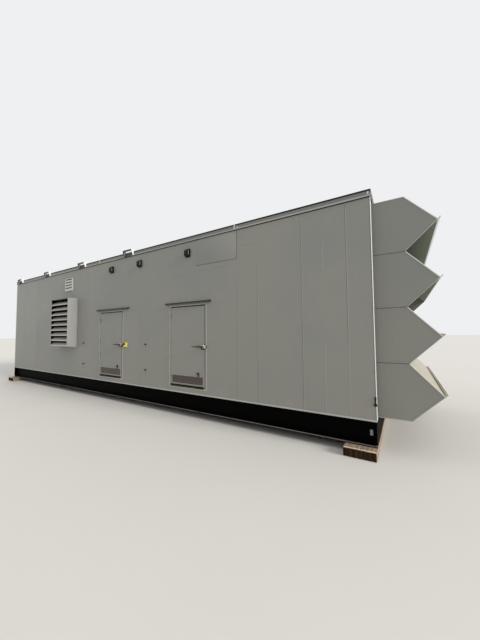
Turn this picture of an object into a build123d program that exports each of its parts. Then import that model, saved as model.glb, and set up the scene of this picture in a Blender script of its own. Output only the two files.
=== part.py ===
"""Walk-in diesel generator housing on a skid base, with four stacked discharge hoods.

+X runs along the housing towards the hoods, the side that is seen faces -Y, +Z is up.
The origin is on the ground, under the middle of the whole length. Millimetres.
"""

import os
from math import atan2, cos, sin

from build123d import *

os.makedirs("parts", exist_ok=True)

# Housing
length = 13200  # end wall to end wall, outside
width = 4070  # side wall to side wall, outside
wall_height = 3500  # foot of the walls to the top of the roof edge
wall_thickness = 100
roof_thickness = 95
floor_thickness = 100
fascia_height = 108
fascia_proud = 12
trim_height = 26  # light flashing along the foot of the walls
trim_proud = 6
joint_gap = 2  # open butt joint between trim lengths and between hood cheeks

# Skid base and the timbers under it
timber_height = 130
timber_width = 452
timber_overhang = 185  # how far a timber stands out past the side of the base
beam_height = 375
beam_flange_width = 200
beam_flange = 28
beam_web = 14
end_plate = 16
cross_beam_width = 150
cross_beam_flange = 16
cross_beam_count = 9
ground_pad_length = 42
ground_pad_depth = 10
ground_pad_height = 86
ground_pad_from_end = 84

# Walk-in doors, alike on both sides; places are measured from the hood end
door_width = 1010
door_height = 1758
door_sill = 157  # foot of the wall to the underside of a leaf
door_thickness = 60
door_gap = 10  # all round a leaf
first_door = 7105  # hinge edge of the leaf
second_door = 4240
frame_face = 45
frame_proud = 4
stop_gap = 6  # leaf to the stop behind it
stop_thickness = 12
stop_lap = 25
hinge_radius = 12
hinge_pin_radius = 5
hinge_pin_play = 0.3
hinge_knuckle = 50
hinge_plate = 6
hinge_plate_width = 26
hinge_heights = (0.1, 0.343, 0.555, 0.885)  # as shares of the leaf's height
hinge_slack = 1
kick_plate_height = 178
kick_plate_margin = 48
kick_plate_thickness = 3
kick_plate_foot = 52
lever_height = 1036
lever_from_edge = 42
lever_length = 280
grip_height = 44  # at the spindle
grip_tip = 16  # height of the grip at its free end
grip_thickness = 14
lever_stand_off = 58
spindle_radius = 9
spindle_play = 0.3
rose_radius = 29
rose_depth = 16
keeper_length = 46
keeper_depth = 44
keeper_height = 60
holder_from_edge = 178
holder_height = 436
drip_height = 48
drip_depth = 62
drip_fall = 14  # how far the top of the cap falls outwards
drip_sheet = 4
drip_lift = 74  # leaf head to the underside of the drip cap
drip_lead = 140  # hinge edge of the leaf to the end of the cap
first_drip_length = 1454
second_drip_length = 1315
catch_from_hinge = 880
low_catch = 428
high_catch = 1058
catch_radius = 17
catch_depth = 34

# Intake louvre box and the small vent over it
intake_place = 9465
intake_width = 1050
intake_foot = 920
intake_head = 2480
intake_depth = 290
intake_sheet = 5
intake_fall = 30
intake_lip = 60  # case edge to the hole behind it
blade_count = 9
blade_depth = 90
blade_nose = 32
blade_rise = 48  # of the sheet behind the nose
vent_width = 465  # centred over the intake
vent_lift = 265  # head of the intake box to the foot of the vent
vent_height = 415
vent_depth = 28
vent_blades = 4
vent_rim = 24
vent_sheet = 4
vent_nose = 60
vent_rise = 24

# Wall lamps and lifting brackets
lamp_from_hinge = 535  # a lamp over each door, and one between the doors
middle_lamp = 5361
lamp_level = 3127
lamp_width = 130
lamp_depth = 80
lamp_height = 185
lamp_plate = 12
lamp_bevel = 24  # of the front edge at the foot
lamp_fall = 44  # height of the sloping top
lamp_glass_inset = 9
bracket_count = 4
first_bracket = 470  # from the plain end wall
bracket_pitch = 2310
bracket_width = 366
bracket_height = 160
bracket_depth = 90
bracket_plate = 14
bracket_bar = 34
bracket_taper = 46  # how much shallower a cheek is at its foot
bracket_rise = 50  # over the roof edge

# Discharge hoods
hood_count = 4
hood_inset = 190  # side wall to the outside of a hood
hood_foot = 22
hood_head = 154  # top of the stack to the top of the roof edge
hood_notch = 437  # end wall to the bend, and to the back of the mouth
hood_tip = 838
hood_drop = 426
hood_sheet = 5
hood_lip = 40
hood_rail = 90  # face of the rails and posts between the openings behind

# Heights and lines that everything else is set from
floor_z = timber_height + beam_height
head_z = floor_z + wall_height - roof_thickness
roof_z = floor_z + wall_height
half_width = width / 2
hood_width = width - 2 * hood_inset
hood_height = (wall_height - hood_foot - hood_head) / hood_count
slope_angle = atan2(hood_drop, hood_tip - hood_notch)
lip_out = hood_lip * sin(slope_angle)
lip_up = hood_lip * cos(slope_angle)
sheet_out = hood_sheet * cos(slope_angle)
sheet_down = hood_sheet * sin(slope_angle)
hood_end = (length + fascia_proud - hood_tip - lip_out - sheet_out) / 2
plain_end = hood_end - length
door_hinge_sides = (first_door, second_door)
bracket_places = [length - first_bracket - bracket_pitch * number for number in range(bracket_count)]


def along(from_hood_end):
    """Turn a distance from the hood end into X."""
    return hood_end - from_hood_end


def slab(x_span, y_span, z_span, mode=Mode.ADD):
    """Add or cut a block between three pairs of limits."""
    spans = [sorted(span) for span in (x_span, y_span, z_span)]
    with Locations(tuple(sum(span) / 2 for span in spans)):
        Box(*(high - low for low, high in spans), mode=mode)


def save(builder, name):
    """Label a finished piece and write it."""
    builder.part.label = name
    export_step(builder.part, f"parts/{name}.step")


def doorway(hinge_side):
    """The hole in the wall around one door frame, as X and Z limits."""
    rim = door_gap + frame_face
    x_span = (along(hinge_side + rim), along(hinge_side - door_width - rim))
    z_span = (floor_z + door_sill - rim, floor_z + door_sill + door_height + rim)
    return x_span, z_span


# Timbers laid across under both ends of the base
with BuildPart() as timbers:
    for end, inward in ((hood_end, -1), (plain_end, 1)):
        reach = half_width + timber_overhang
        slab((end, end + inward * timber_width), (-reach, reach), (0, timber_height))
save(timbers, "timbers")

# Wide-flange side beams
with BuildPart() as side_beams:
    run = (plain_end + end_plate, hood_end - end_plate)
    for side in (-1, 1):
        middle = side * (half_width - beam_flange_width / 2)
        edge = (middle - beam_flange_width / 2, middle + beam_flange_width / 2)
        slab(run, edge, (timber_height, timber_height + beam_flange))
        slab(run, edge, (floor_z - beam_flange, floor_z))
        slab(run, (middle - beam_web / 2, middle + beam_web / 2), (timber_height, floor_z))
save(side_beams, "side_beams")

# End beams: a flush outer plate with flanges turned inwards
with BuildPart() as end_beams:
    for end, inward in ((hood_end, -1), (plain_end, 1)):
        slab((end, end + inward * end_plate), (-half_width, half_width), (timber_height, floor_z))
        inner = half_width - beam_flange_width
        depth = (end, end + inward * beam_flange_width)
        slab(depth, (-inner, inner), (timber_height, timber_height + beam_flange))
        slab(depth, (-inner, inner), (floor_z - beam_flange, floor_z))
save(end_beams, "end_beams")

# Cross beams between the webs of the side beams
with BuildPart() as cross_beams:
    reach = half_width - beam_flange_width / 2 - beam_web / 2
    low, high = timber_height + beam_flange, floor_z - beam_flange
    pitch = length / (cross_beam_count + 1)
    for number in range(cross_beam_count):
        middle = plain_end + pitch * (number + 1)
        edge = (middle - cross_beam_width / 2, middle + cross_beam_width / 2)
        slab(edge, (-reach, reach), (low, low + cross_beam_flange))
        slab(edge, (-reach, reach), (high - cross_beam_flange, high))
        slab((middle - beam_web / 2, middle + beam_web / 2), (-reach, reach), (low, high))
save(cross_beams, "cross_beams")

# Bare grounding pads on the webs of the side beams, near the hood end
with BuildPart() as ground_pads:
    for side in (-1, 1):
        web_face = side * (half_width - beam_flange_width / 2 + beam_web / 2)
        with Locations((along(ground_pad_from_end), web_face + side * ground_pad_depth / 2,
                        timber_height + beam_height / 2)):
            Box(ground_pad_length, ground_pad_depth, ground_pad_height)
save(ground_pads, "ground_pads")

with BuildPart() as floor:
    inner = half_width - wall_thickness
    slab((plain_end + wall_thickness, hood_end - wall_thickness), (-inner, inner),
         (floor_z, floor_z + floor_thickness))
save(floor, "floor")

# Side walls, split beside, over and under each hole
intake_hole = (
    (along(intake_place - intake_lip), along(intake_place - intake_width + intake_lip)),
    (floor_z + intake_foot + intake_lip, floor_z + intake_head - intake_lip),
)
holes = [intake_hole] + [doorway(hinge_side) for hinge_side in door_hinge_sides]
for side, name in ((-1, "front"), (1, "back")):
    skin = (side * half_width, side * (half_width - wall_thickness))
    with BuildPart() as panels:
        starts = [plain_end] + [x_span[1] for x_span, z_span in holes]
        stops = [x_span[0] for x_span, z_span in holes] + [hood_end]
        for start, stop in zip(starts, stops):
            slab((start, stop), skin, (floor_z, head_z))
    save(panels, f"{name}_wall_panels")
    with BuildPart() as headers:
        for x_span, z_span in holes:
            slab(x_span, skin, (z_span[1], head_z))
    save(headers, f"{name}_wall_headers")
    with BuildPart() as sills:
        for x_span, z_span in holes:
            slab(x_span, skin, (floor_z, z_span[0]))
    save(sills, f"{name}_wall_sills")

with BuildPart() as plain_end_wall:
    inner = half_width - wall_thickness
    slab((plain_end, plain_end + wall_thickness), (-inner, inner), (floor_z, head_z))
save(plain_end_wall, "plain_end_wall")

# The hood end is a frame of posts and rails with one opening behind each hood
opening_half = hood_width / 2 - hood_rail
end_skin = (hood_end, hood_end - wall_thickness)
with BuildPart() as hood_end_posts:
    for side in (-1, 1):
        slab(end_skin, (side * opening_half, side * (half_width - wall_thickness)), (floor_z, head_z))
save(hood_end_posts, "hood_end_posts")

with BuildPart() as hood_end_rails:
    levels = [floor_z + hood_foot + hood_height * number for number in range(hood_count + 1)]
    slab(end_skin, (-opening_half, opening_half), (floor_z, floor_z + floor_thickness))
    slab(end_skin, (-opening_half, opening_half), (levels[-1] - hood_rail / 2, head_z))
    for level in levels[1:-1]:
        slab(end_skin, (-opening_half, opening_half), (level - hood_rail / 2, level + hood_rail / 2))
save(hood_end_rails, "hood_end_rails")

with BuildPart() as roof_panel:
    slab((plain_end, hood_end), (-half_width, half_width), (head_z, head_z + roof_thickness))
save(roof_panel, "roof_panel")

# Fascia lengths between the lifting brackets, and along the ends
with BuildPart() as roof_fascia:
    fascia_z = (roof_z - fascia_height, roof_z)
    half_bracket = bracket_width / 2 + joint_gap
    starts = [plain_end - fascia_proud] + [along(place) + half_bracket for place in bracket_places]
    stops = [along(place) - half_bracket for place in bracket_places] + [hood_end + fascia_proud]
    for side in (-1, 1):
        skin = (side * half_width, side * (half_width + fascia_proud))
        for start, stop in zip(starts, stops):
            slab((start, stop), skin, fascia_z)
    inner = half_width - joint_gap
    slab((plain_end - fascia_proud, plain_end), (-inner, inner), fascia_z)
    slab((hood_end, hood_end + fascia_proud), (-inner, inner), fascia_z)
save(roof_fascia, "roof_fascia")

# Lifting brackets that hook over the roof edge
with BuildPart() as lifting_brackets:
    top = roof_z + bracket_rise
    for side in (-1, 1):
        near = side * half_width
        far = side * (half_width + bracket_depth)
        for place in bracket_places:
            left, right = along(place) - bracket_width / 2, along(place) + bracket_width / 2
            for start in (left, right - bracket_plate):
                with BuildSketch(Plane.YZ.offset(start)):
                    with BuildLine():
                        Polyline((near, top), (far, top), (far, top - bracket_bar),
                                 (far - side * bracket_taper, top - bracket_height),
                                 (near, top - bracket_height), close=True)
                    make_face()
                extrude(amount=bracket_plate)
            slab((left, right), (far - side * bracket_bar, far), (top - bracket_bar, top))
            slab((left, right), (near, near + side * bracket_plate), (top - bracket_height, roof_z))
save(lifting_brackets, "lifting_brackets")

# Flashing along the foot of the walls
with BuildPart() as foot_trim:
    for side in (-1, 1):
        slab((plain_end, hood_end), (side * half_width, side * (half_width + trim_proud)),
             (floor_z, floor_z + trim_height))
save(foot_trim, "foot_trim")


def door_parts(hinge_side, side):
    """X of the leaf's hinge edge, its far edge, the outer face and the way into the wall."""
    hinge_edge = along(hinge_side)
    return hinge_edge, hinge_edge + door_width, side * half_width, -side


def hinge_axis(hinge_side, side):
    """X and Y of the line that the knuckles of a door share."""
    hinge_edge, far_edge, face, inward = door_parts(hinge_side, side)
    stand_off = frame_proud + hinge_pin_play + hinge_radius
    return hinge_edge - door_gap / 2, face - inward * stand_off


def add_frame(hinge_side, side):
    """Frame with the stop behind the leaf."""
    hinge_edge, far_edge, face, inward = door_parts(hinge_side, side)
    foot, head = floor_z + door_sill, floor_z + door_sill + door_height
    x_hole, z_hole = doorway(hinge_side)
    depth = (face - inward * frame_proud, face + inward * wall_thickness)
    slab(x_hole, depth, z_hole)
    slab((hinge_edge - door_gap, far_edge + door_gap), depth, (foot - door_gap, head + door_gap),
         mode=Mode.SUBTRACT)
    stop_start = face + inward * (door_thickness + stop_gap)
    stop = (stop_start, stop_start + inward * stop_thickness)
    slab((hinge_edge - door_gap, far_edge + door_gap), stop, (foot - door_gap, head + door_gap))
    lap = stop_lap - door_gap
    slab((hinge_edge + lap, far_edge - lap), stop, (foot + lap, head - lap), mode=Mode.SUBTRACT)


def add_fixed_knuckles(hinge_side, side):
    """Lower half of each lift-off hinge on its plate, with the pin standing in it."""
    hinge_edge, far_edge, face, inward = door_parts(hinge_side, side)
    axis_x, axis_y = hinge_axis(hinge_side, side)
    plate_y = (face - inward * (frame_proud + hinge_plate), face - inward * frame_proud)
    for share in hinge_heights:
        middle = floor_z + door_sill + share * door_height
        slab((axis_x - hinge_plate_width, axis_x), plate_y, (middle - hinge_knuckle, middle - hinge_slack))
        with Locations((axis_x, axis_y, middle - hinge_knuckle / 2)):
            Cylinder(hinge_radius, hinge_knuckle - 2 * hinge_slack)
        with Locations((axis_x, axis_y, middle)):
            Cylinder(hinge_pin_radius, 2 * (hinge_knuckle - 2 * hinge_slack))


def add_keeper(hinge_side, side):
    """Keeper of the latch, on the face of the frame."""
    hinge_edge, far_edge, face, inward = door_parts(hinge_side, side)
    start = far_edge + door_gap
    middle = floor_z + lever_height
    slab((start, start + keeper_length),
         (face - inward * frame_proud, face - inward * (frame_proud + keeper_depth)),
         (middle - keeper_height / 2, middle + keeper_height / 2))


def add_leaf(hinge_side, side):
    """Plain flush leaf."""
    hinge_edge, far_edge, face, inward = door_parts(hinge_side, side)
    slab((hinge_edge, far_edge), (face, face + inward * door_thickness),
         (floor_z + door_sill, floor_z + door_sill + door_height))


def add_hinges(hinge_side, side):
    """Upper half of each lift-off hinge, bored for the pin, on its plate on the leaf."""
    hinge_edge, far_edge, face, inward = door_parts(hinge_side, side)
    axis_x, axis_y = hinge_axis(hinge_side, side)
    for share in hinge_heights:
        middle = floor_z + door_sill + share * door_height
        slab((axis_x, axis_x + hinge_plate_width), (face, face - inward * (frame_proud + hinge_plate)),
             (middle + hinge_slack, middle + hinge_knuckle))
        with Locations((axis_x, axis_y, middle + hinge_knuckle / 2)):
            Cylinder(hinge_radius, hinge_knuckle - 2 * hinge_slack)
            Cylinder(hinge_pin_radius + hinge_pin_play, hinge_knuckle, mode=Mode.SUBTRACT)


def add_shut_hinges(hinge_side, side):
    """Whole hinges of a door that is modelled shut."""
    hinge_edge, far_edge, face, inward = door_parts(hinge_side, side)
    axis_x, axis_y = hinge_axis(hinge_side, side)
    frame_front, plate_front = face - inward * frame_proud, face - inward * (frame_proud + hinge_plate)
    for share in hinge_heights:
        middle = floor_z + door_sill + share * door_height
        slab((axis_x, axis_x + hinge_plate_width), (face, plate_front),
             (middle + hinge_slack, middle + hinge_knuckle))
        slab((axis_x - hinge_plate_width, axis_x), (frame_front, plate_front),
             (middle - hinge_knuckle, middle - hinge_slack))
        with Locations((axis_x, axis_y, middle)):
            Cylinder(hinge_radius, 2 * (hinge_knuckle - hinge_slack))


def add_fittings(hinge_side, side):
    """Kick plate, rose behind the lever and kick-down holder, all on the leaf."""
    hinge_edge, far_edge, face, inward = door_parts(hinge_side, side)
    foot = floor_z + door_sill + kick_plate_foot
    slab((hinge_edge + kick_plate_margin, far_edge - kick_plate_margin),
         (face, face - inward * kick_plate_thickness), (foot, foot + kick_plate_height))
    with Locations(Location((far_edge - lever_from_edge, face - inward * rose_depth / 2,
                             floor_z + lever_height), (90, 0, 0))):
        Cylinder(rose_radius, rose_depth)
        Cylinder(spindle_radius + spindle_play, rose_depth, mode=Mode.SUBTRACT)
    slab((far_edge - holder_from_edge, far_edge - holder_from_edge - 2 * catch_radius),
         (face, face - inward * catch_depth), (floor_z + holder_height, floor_z + holder_height + catch_depth))


def add_lever(hinge_side, side):
    """Lever handle on its spindle, pointing back towards the hinges."""
    hinge_edge, far_edge, face, inward = door_parts(hinge_side, side)
    pivot = far_edge - lever_from_edge
    shaft = lever_stand_off + grip_thickness - hinge_slack
    with Locations(Location((pivot, face - inward * (hinge_slack + shaft / 2), floor_z + lever_height),
                            (90, 0, 0))):
        Cylinder(spindle_radius, shaft)
    level = floor_z + lever_height
    with BuildSketch(Plane.XZ.offset(inward * lever_stand_off - face)) as outline:
        with BuildLine():
            Polyline((pivot + spindle_radius, level - grip_height / 2),
                     (pivot + spindle_radius, level + grip_height / 2),
                     (pivot - lever_length, level + grip_tip / 2),
                     (pivot - lever_length, level - grip_tip / 2), close=True)
        make_face()
    extrude(outline.sketch, amount=inward * grip_thickness)


# The two doors on the front each have nodes of their own; the back doors share nodes
for number, hinge_side in enumerate(door_hinge_sides, start=1):
    with BuildPart() as frame:
        add_frame(hinge_side, -1)
        add_fixed_knuckles(hinge_side, -1)
    save(frame, f"door_{number}_frame")
    for add, name in ((add_leaf, "leaf"), (add_hinges, "hinges"), (add_fittings, "fittings"),
                      (add_lever, "lever")):
        with BuildPart() as piece:
            add(hinge_side, -1)
        save(piece, f"door_{number}_{name}")
for add, name in ((add_frame, "frames"), (add_leaf, "leaves"), (add_shut_hinges, "hinges"),
                  (add_fittings, "fittings"), (add_lever, "levers")):
    with BuildPart() as pair:
        for hinge_side in door_hinge_sides:
            add(hinge_side, 1)
    save(pair, f"back_door_{name}")
with BuildPart() as door_keepers:
    for side in (-1, 1):
        for hinge_side in door_hinge_sides:
            add_keeper(hinge_side, side)
save(door_keepers, "door_keepers")

# Drip caps over the doors: a falling top, a turned-down front edge and closed ends
with BuildPart() as drip_caps:
    foot = floor_z + door_sill + door_height + drip_lift
    top = foot + drip_height
    for side in (-1, 1):
        face, outer = side * half_width, side * (half_width + drip_depth)
        inside = outer - side * drip_sheet
        for hinge_side, drip_length in ((first_door, first_drip_length), (second_door, second_drip_length)):
            start = along(hinge_side + drip_lead)
            with BuildSketch(Plane.YZ.offset(start)):
                with BuildLine():
                    Polyline((face, foot), (outer, foot), (outer, top - drip_fall), (face, top), close=True)
                make_face()
            extrude(amount=drip_length)
            with BuildSketch(Plane.YZ.offset(start + drip_sheet)):
                with BuildLine():
                    Polyline((face, foot), (inside, foot), (inside, top - drip_fall - drip_sheet),
                             (face, top - drip_sheet), close=True)
                make_face()
            extrude(amount=drip_length - 2 * drip_sheet, mode=Mode.SUBTRACT)
save(drip_caps, "drip_caps")

# Wall catches that hold an open door back
with BuildPart() as door_catches:
    for side in (-1, 1):
        for hinge_side in door_hinge_sides:
            for height in (low_catch, high_catch):
                place = (along(hinge_side + catch_from_hinge),
                         side * (half_width + catch_depth / 2), floor_z + height)
                with Locations(Location(place, (90, 0, 0))):
                    Cylinder(catch_radius, catch_depth)
save(door_catches, "door_catches")

# Intake boxes: two cheeks, a falling top and a bottom around a bank of blades
left, right = along(intake_place), along(intake_place - intake_width)
foot, head = floor_z + intake_foot, floor_z + intake_head
with BuildPart() as intake_cases:
    for side in (-1, 1):
        wall_face, outer_face = side * half_width, side * (half_width + intake_depth)
        with BuildSketch(Plane.YZ.offset(left)):
            with BuildLine():
                Polyline((wall_face, foot), (outer_face, foot + intake_fall),
                         (outer_face, head - intake_fall), (wall_face, head), close=True)
            make_face()
        extrude(amount=intake_width)
        slab((left + intake_sheet, right - intake_sheet), (wall_face, outer_face),
             (foot + intake_fall + intake_sheet, head - intake_fall - intake_sheet), mode=Mode.SUBTRACT)
save(intake_cases, "intake_cases")

# Each blade is a sheet that rises inwards from an upright nose
with BuildPart() as intake_blades:
    bank = head - foot - 2 * (intake_fall + intake_sheet)
    pitch = (bank - blade_nose) / blade_count
    for side in (-1, 1):
        outer_face = side * (half_width + intake_depth)
        inner_face = outer_face - side * blade_depth
        for number in range(blade_count):
            low = foot + intake_fall + intake_sheet + number * pitch
            bend = low + blade_nose
            with BuildSketch(Plane.YZ.offset(left + intake_sheet)):
                with BuildLine():
                    Polyline((outer_face, low), (outer_face, bend), (inner_face, bend + blade_rise),
                             (inner_face, bend + blade_rise - intake_sheet),
                             (outer_face - side * intake_sheet, bend - intake_sheet),
                             (outer_face - side * intake_sheet, low), close=True)
                make_face()
            extrude(amount=intake_width - 2 * intake_sheet)
save(intake_blades, "intake_blades")

# Small vent louvres near the roof: a rim and a back plate with slanted blades
with BuildPart() as vents:
    middle = (left + right) / 2
    vent_x = (middle - vent_width / 2, middle + vent_width / 2)
    vent_z = (head + vent_lift, head + vent_lift + vent_height)
    inner_x = (vent_x[0] + vent_rim, vent_x[1] - vent_rim)
    pitch = (vent_height - 2 * vent_rim) / vent_blades
    for side in (-1, 1):
        face, proud = side * half_width, side * (half_width + vent_depth)
        slab(vent_x, (face, proud), vent_z)
        slab(inner_x, (face + side * vent_sheet, proud), (vent_z[0] + vent_rim, vent_z[1] - vent_rim),
             mode=Mode.SUBTRACT)
        for number in range(vent_blades):
            low = vent_z[0] + vent_rim - vent_sheet + number * pitch
            with BuildSketch(Plane.YZ.offset(inner_x[0])):
                with BuildLine():
                    Polyline((proud, low), (proud, low + vent_nose), (face, low + vent_nose + vent_rise),
                             (face, low + vent_rise), close=True)
                make_face()
            extrude(amount=inner_x[1] - inner_x[0])
save(vents, "vents")

# Wall lamps: a back plate and a body with a sloping top, bevelled foot and sunk glass
with BuildPart() as lamps:
    low, high = floor_z + lamp_level - lamp_height / 2, floor_z + lamp_level + lamp_height / 2
    for side in (-1, 1):
        face, outer = side * half_width, side * (half_width + lamp_depth)
        for place in (first_door - lamp_from_hinge, middle_lamp, second_door - lamp_from_hinge):
            start = along(place) - lamp_width / 2
            slab((start, start + lamp_width), (face, face + side * lamp_plate), (low, high))
            with BuildSketch(Plane.YZ.offset(start + lamp_plate)):
                with BuildLine():
                    Polyline((face, low + lamp_plate), (outer - side * lamp_bevel, low + lamp_plate),
                             (outer, low + lamp_plate + lamp_bevel), (outer, high - lamp_plate - lamp_fall),
                             (outer - side * lamp_bevel, high - lamp_plate), (face, high - lamp_plate),
                             close=True)
                make_face()
            extrude(amount=lamp_width - 2 * lamp_plate)
            inset = lamp_plate + lamp_glass_inset
            slab((start + inset, start + lamp_width - inset), (outer - side * lamp_glass_inset, outer),
                 (low + inset + lamp_bevel, high - inset - lamp_fall), mode=Mode.SUBTRACT)
save(lamps, "lamps")

# Discharge hoods: pentagonal cheeks, level pans between them, and sloping sheets that
# lie on the cheeks and end in a turned-up lip
inside_half = hood_width / 2 - hood_sheet
plumb = hood_sheet / cos(slope_angle)
bend_x, tip_x = hood_end + hood_notch, hood_end + hood_tip
for side, name in ((-1, "front"), (1, "back")):
    with BuildPart() as cheeks:
        for level in levels[1:]:
            low = level - hood_height + joint_gap
            with BuildSketch(Plane.XZ.offset(-side * hood_width / 2)):
                with BuildLine():
                    Polyline((hood_end, level), (bend_x, level), (bend_x, level - plumb),
                             (tip_x, level - hood_drop - plumb), (bend_x, low), (hood_end, low),
                             close=True)
                make_face()
            extrude(amount=side * hood_sheet)
    save(cheeks, f"hood_{name}_cheeks")

with BuildPart() as hood_slopes:
    for level in levels[1:]:
        tip_z = level - hood_drop
        with BuildSketch(Plane.XZ.offset(-hood_width / 2)):
            with BuildLine():
                Polyline((bend_x, level), (tip_x, tip_z), (tip_x + lip_out, tip_z + lip_up),
                         (tip_x + lip_out + sheet_out, tip_z + lip_up - sheet_down),
                         (tip_x + sheet_out - sheet_down, tip_z - sheet_down - sheet_out),
                         (bend_x, level - plumb), close=True)
            make_face()
        extrude(amount=hood_width)
save(hood_slopes, "hood_slopes")

with BuildPart() as hood_pans:
    for level in levels:
        low = level if level == levels[0] else level - hood_sheet
        slab((hood_end, bend_x), (-inside_half, inside_half), (low, low + hood_sheet))
save(hood_pans, "hood_pans")
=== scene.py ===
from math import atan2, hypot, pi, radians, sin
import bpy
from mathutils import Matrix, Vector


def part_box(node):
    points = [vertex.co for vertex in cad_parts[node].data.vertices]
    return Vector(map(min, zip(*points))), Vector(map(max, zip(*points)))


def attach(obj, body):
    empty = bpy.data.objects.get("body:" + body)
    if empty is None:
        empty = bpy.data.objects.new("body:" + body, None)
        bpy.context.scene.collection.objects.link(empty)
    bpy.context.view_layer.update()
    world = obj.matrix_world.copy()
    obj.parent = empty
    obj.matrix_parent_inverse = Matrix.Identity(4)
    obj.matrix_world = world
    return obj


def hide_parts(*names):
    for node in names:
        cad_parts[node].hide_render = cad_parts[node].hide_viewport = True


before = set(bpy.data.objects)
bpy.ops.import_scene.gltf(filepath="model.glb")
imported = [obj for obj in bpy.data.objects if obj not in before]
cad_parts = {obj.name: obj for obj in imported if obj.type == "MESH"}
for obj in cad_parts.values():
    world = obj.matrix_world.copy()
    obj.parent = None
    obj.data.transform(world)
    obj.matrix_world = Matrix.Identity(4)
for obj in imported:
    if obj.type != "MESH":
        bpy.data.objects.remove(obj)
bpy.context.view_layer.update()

# Looks of the walk-in generator housing: paints, seams, fixings, lamps, door hardware and timbers
from types import SimpleNamespace

import bpy
from mathutils import Matrix, Vector

# Lines that the pieces are set from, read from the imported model
wallLow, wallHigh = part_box("front_wall_panels")
fasciaLow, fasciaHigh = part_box("roof_fascia")
slopeLow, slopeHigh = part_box("hood_slopes")
cheekLow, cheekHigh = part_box("hood_front_cheeks")
bracketLow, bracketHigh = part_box("lifting_brackets")
faceY = -wallLow.y  # outer face of the side walls, the same on both sides
hoodEnd, plainEnd = wallHigh.x, wallLow.x
floorZ, roofZ = wallLow.z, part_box("roof_panel")[1].z
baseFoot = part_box("side_beams")[0].z
bracketWidth, bracketCount = 0.366, 4
bracketPitch = (bracketHigh.x - bracketLow.x - bracketWidth) / (bracketCount - 1)
timberWidth = 0.452
lampWidth = 0.130
lampPlaces = [hoodEnd - place for place in (6.570, 5.361, 3.705)]
hoodCount, hoodBend, hoodDrop = 4, hoodEnd + 0.437, 0.426
bite = 0.001  # how far trim reaches into what carries it, or stays clear of what is beside it
fasciaShadowLine = 0.013  # height of the dark strip under the fascia, a painted shadow line


class Wire:
    # one socket of a material's nodes, with the arithmetic of Math nodes
    def __init__(self, tree, socket=None):
        self.tree, self.socket = tree, socket

    def node(self, kind, settings=None, sockets=None, out=0):
        made = self.tree.nodes.new(kind)
        for name, value in (settings or {}).items():
            setattr(made, name, value)
        for name, value in (sockets or {}).items():
            if isinstance(value, Wire):
                self.tree.links.new(value.socket, made.inputs[name])
            elif value is not None:
                made.inputs[name].default_value = value
        return Wire(self.tree, made.outputs[out] if made.outputs else None)

    def math(self, operation, *values):
        return self.node("ShaderNodeMath", {"operation": operation}, dict(enumerate(values)))

    def wrap(self, span):
        return self.math("WRAP", self, span, 0)

    def distance(self):
        return self.math("ABSOLUTE", self)

    def between(self, low, high, fromValue=0.0, toValue=1.0):
        limits = {"Value": self, "From Min": low, "From Max": high, "To Min": fromValue, "To Max": toValue}
        return self.node("ShaderNodeMapRange", {"interpolation_type": "SMOOTHSTEP", "clamp": True}, limits)


# Plus, minus and times, with the wire on the left or on the right
for sign, operation in (("add", "ADD"), ("sub", "SUBTRACT"), ("mul", "MULTIPLY")):
    setattr(Wire, f"__{sign}__", lambda self, other, step=operation: self.math(step, self, other))
    setattr(Wire, f"__r{sign}__", lambda self, other, step=operation: self.math(step, other, self))


def mixColors(factor, first, second, blend="MIX"):
    settings = {"data_type": "RGBA", "blend_type": blend}
    first = first if isinstance(first, Wire) else (*first, 1)
    second = second if isinstance(second, Wire) else (*second, 1)
    wire = factor if isinstance(factor, Wire) else first
    return wire.node("ShaderNodeMix", settings, {0: factor, 6: first, 7: second}, out=2)


def openMaterial(name):
    material = bpy.data.materials.new(name)
    material.use_nodes = True
    material.node_tree.nodes.clear()
    wire = Wire(material.node_tree)
    return material, wire, wire.node("ShaderNodeTexCoord", out="Object")


def axes(place):
    return [place.node("ShaderNodeSeparateXYZ", sockets={"Vector": place}, out=axis) for axis in "XYZ"]


def facing(wire):
    return axes(wire.node("ShaderNodeNewGeometry", out="Normal"))


def stretched(place, scale):
    return place.node("ShaderNodeMapping", sockets={"Vector": place, "Scale": scale})


def noise(place, scale, detail, rough):
    return place.node("ShaderNodeTexNoise",
                      sockets={"Vector": place, "Scale": scale, "Detail": detail, "Roughness": rough})


def bump(height, strength, depth, below=None):
    return height.node("ShaderNodeBump",
                       sockets={"Height": height, "Strength": strength, "Distance": depth, "Normal": below})


def closeMaterial(wire, color, rough, relief=None, gloss=0.5, metallic=0.0):
    # fills a Principled shader and joins it to the output
    sockets = {"Base Color": color, "Roughness": rough, "Normal": relief, "Specular IOR Level": gloss,
               "Metallic": metallic}
    shader = wire.node("ShaderNodeBsdfPrincipled", sockets=sockets)
    wire.node("ShaderNodeOutputMaterial", sockets={"Surface": shader})


# Semi-gloss housing paint: broad drifts of tone, faint runs, dust at the foot, orange peel, and a painted
# highlight tone for the lips of the hoods
housingPaint = {"tone": (0.251, 0.252, 0.229), "cool": (0.229, 0.239, 0.226), "warm": (0.265, 0.256, 0.229),
                "dust": (0.33, 0.305, 0.25), "rough": 0.30, "gloss": 0.15, "wave": 0.45, "peel": 0.08,
                "dustTop": 0.55, "lipHighlight": (0.90, 0.84, 0.72)}
stiffener = {"offset": 7.03, "pitch": 0.726, "half": 0.016, "relief": 0.3, "dust": 0.10}
rustRuns = {"fromHoodEnd": (-7.985, -5.12), "levels": (0.428, 1.058), "width": 0.016, "fall": 0.20,
            "rust": (0.12, 0.066, 0.036), "strength": 0.55}


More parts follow.
